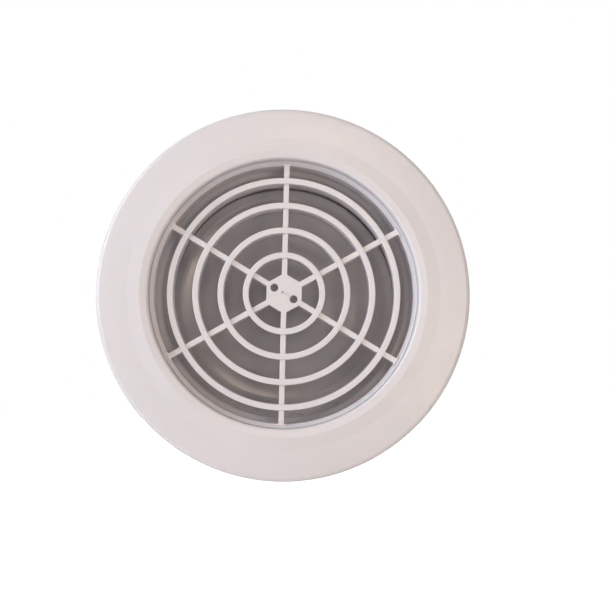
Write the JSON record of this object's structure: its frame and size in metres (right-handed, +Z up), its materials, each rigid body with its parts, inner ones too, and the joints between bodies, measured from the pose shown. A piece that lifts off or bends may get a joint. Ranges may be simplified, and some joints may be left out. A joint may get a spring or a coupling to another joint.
{
  "type": "bathroom extractor fan",
  "caption": "Flush-mounted axial bathroom extractor fan: round ring-and-spoke grille, backdraught damper, impeller, motor and outlet spigot for a round duct.",
  "frame": {"origin": "centre of the flange's back plane, where the flange seal meets the wall or ceiling", "axes": "+Y along the fan's axis, from the grille into the duct; +Z up, with the terminal box on top; +X to the right as the grille is faced"},
  "size_m": [0.14, 0.1554, 0.14],
  "materials": {
    "white_abs": "satin moulded, slightly warm off-white",
    "housing_plastic": "satin moulded, grey-white",
    "taupe_abs": "smooth glossy dark grey-brown",
    "impeller_plastic": "smooth dark grey, with soft mould marks",
    "nylon": "natural, slightly translucent-looking",
    "foam": "closed-cell foam",
    "black_rubber": "matt moulded rubber",
    "bright_steel": "zinc plated",
    "laminated_steel": "stacked laminations, varnished",
    "cast_zinc": "die-cast zinc, as cast",
    "cast_aluminium": "as cast",
    "copper": "enamelled wire, glossy",
    "brass": "turned",
    "sintered_bronze": "oil-filled sintered, dull",
    "lead_insulation": "flexible PVC insulation, blue"
  },
  "bodies": {
    "fan_case": {"bezel": "white_abs", "flange_gasket": "foam", "housing": "housing_plastic", "terminal_block": "nylon", "terminal_screw_1": "brass", "terminal_screw_2": "brass", "terminal_screw_3": "brass", "terminal_screw_4": "brass", "cable_clamp": "nylon", "clamp_screw_1": "bright_steel", "clamp_screw_2": "bright_steel", "cable_grommet": "black_rubber", "lead_grommet": "black_rubber", "terminal_lid": "housing_plastic", "lid_screw_1": "bright_steel", "lid_screw_2": "bright_steel", "damper_frame": "taupe_abs", "flap_spindle": "bright_steel", "flap_spring": "bright_steel", "stator_core": "laminated_steel", "coil_core_bar": "laminated_steel", "shading_ring_1": "copper", "shading_ring_2": "copper", "coil_bobbin": "nylon", "coil_winding": "copper", "front_bearing_bracket": "cast_zinc", "rear_bearing_bracket": "cast_zinc", "front_bearing": "sintered_bronze", "rear_bearing": "sintered_bronze", "front_bearing_retainer": "bright_steel", "rear_bearing_retainer": "bright_steel", "motor_support": "housing_plastic", "vibration_washer_1": "black_rubber", "vibration_washer_2": "black_rubber", "motor_screw_1": "bright_steel", "motor_screw_2": "bright_steel", "motor_nut_1": "bright_steel", "motor_nut_2": "bright_steel", "support_screw_1": "bright_steel", "support_screw_2": "bright_steel", "support_screw_3": "bright_steel", "motor_lead_1": "lead_insulation", "motor_lead_2": "lead_insulation", "clip_bracket_left": "bright_steel", "clip_bracket_right": "bright_steel", "clip_pin_left": "bright_steel", "clip_pin_right": "bright_steel", "bracket_screw_left": "bright_steel", "bracket_screw_right": "bright_steel"},
    "impeller_and_rotor": {"impeller": "impeller_plastic", "impeller_clip": "bright_steel", "motor_shaft": "bright_steel", "rotor_core": "laminated_steel", "rotor_cage": "cast_aluminium"},
    "left_flap": {"flap_left": "taupe_abs"},
    "right_flap": {"flap_right": "taupe_abs"},
    "grille_insert": {"grille": "white_abs"},
    "left_clip": {"spring_clip_left": "bright_steel"},
    "right_clip": {"spring_clip_right": "bright_steel"}
  },
  "joints": [
    {"name": "impeller_spin", "type": "hinge", "parent": "fan_case", "child": "impeller_and_rotor", "pos_m": [0, 0.085, 0], "axis": [0, 1, 0], "continuous": true},
    {"name": "flap_left_hinge", "type": "hinge", "parent": "fan_case", "child": "left_flap", "pos_m": [0, 0.0284, 0], "axis": [0, 0, -1], "range_deg": [0, 70], "stiffness_Nm_per_rad": 0.0008, "springref_deg": -20.05, "deforming": ["flap_spring"]},
    {"name": "flap_right_hinge", "type": "hinge", "parent": "fan_case", "child": "right_flap", "pos_m": [0, 0.0284, 0], "axis": [0, 0, 1], "range_deg": [0, 70], "stiffness_Nm_per_rad": 0.0008, "springref_deg": -20.05, "deforming": ["flap_spring"]},
    {"name": "grille_pull", "type": "slide", "parent": "fan_case", "child": "grille_insert", "axis": [0, -1, 0], "range_m": [0, 0.03]},
    {"name": "clip_left_hinge", "type": "hinge", "parent": "fan_case", "child": "left_clip", "pos_m": [-0.0575, 0.026, 0], "axis": [0, 0, -1], "range_deg": [0, 150], "stiffness_Nm_per_rad": 0.004, "springref_deg": -17.19},
    {"name": "clip_right_hinge", "type": "hinge", "parent": "fan_case", "child": "right_clip", "pos_m": [0.0575, 0.026, 0], "axis": [0, 0, 1], "range_deg": [0, 150], "stiffness_Nm_per_rad": 0.004, "springref_deg": -17.19}
  ]
}
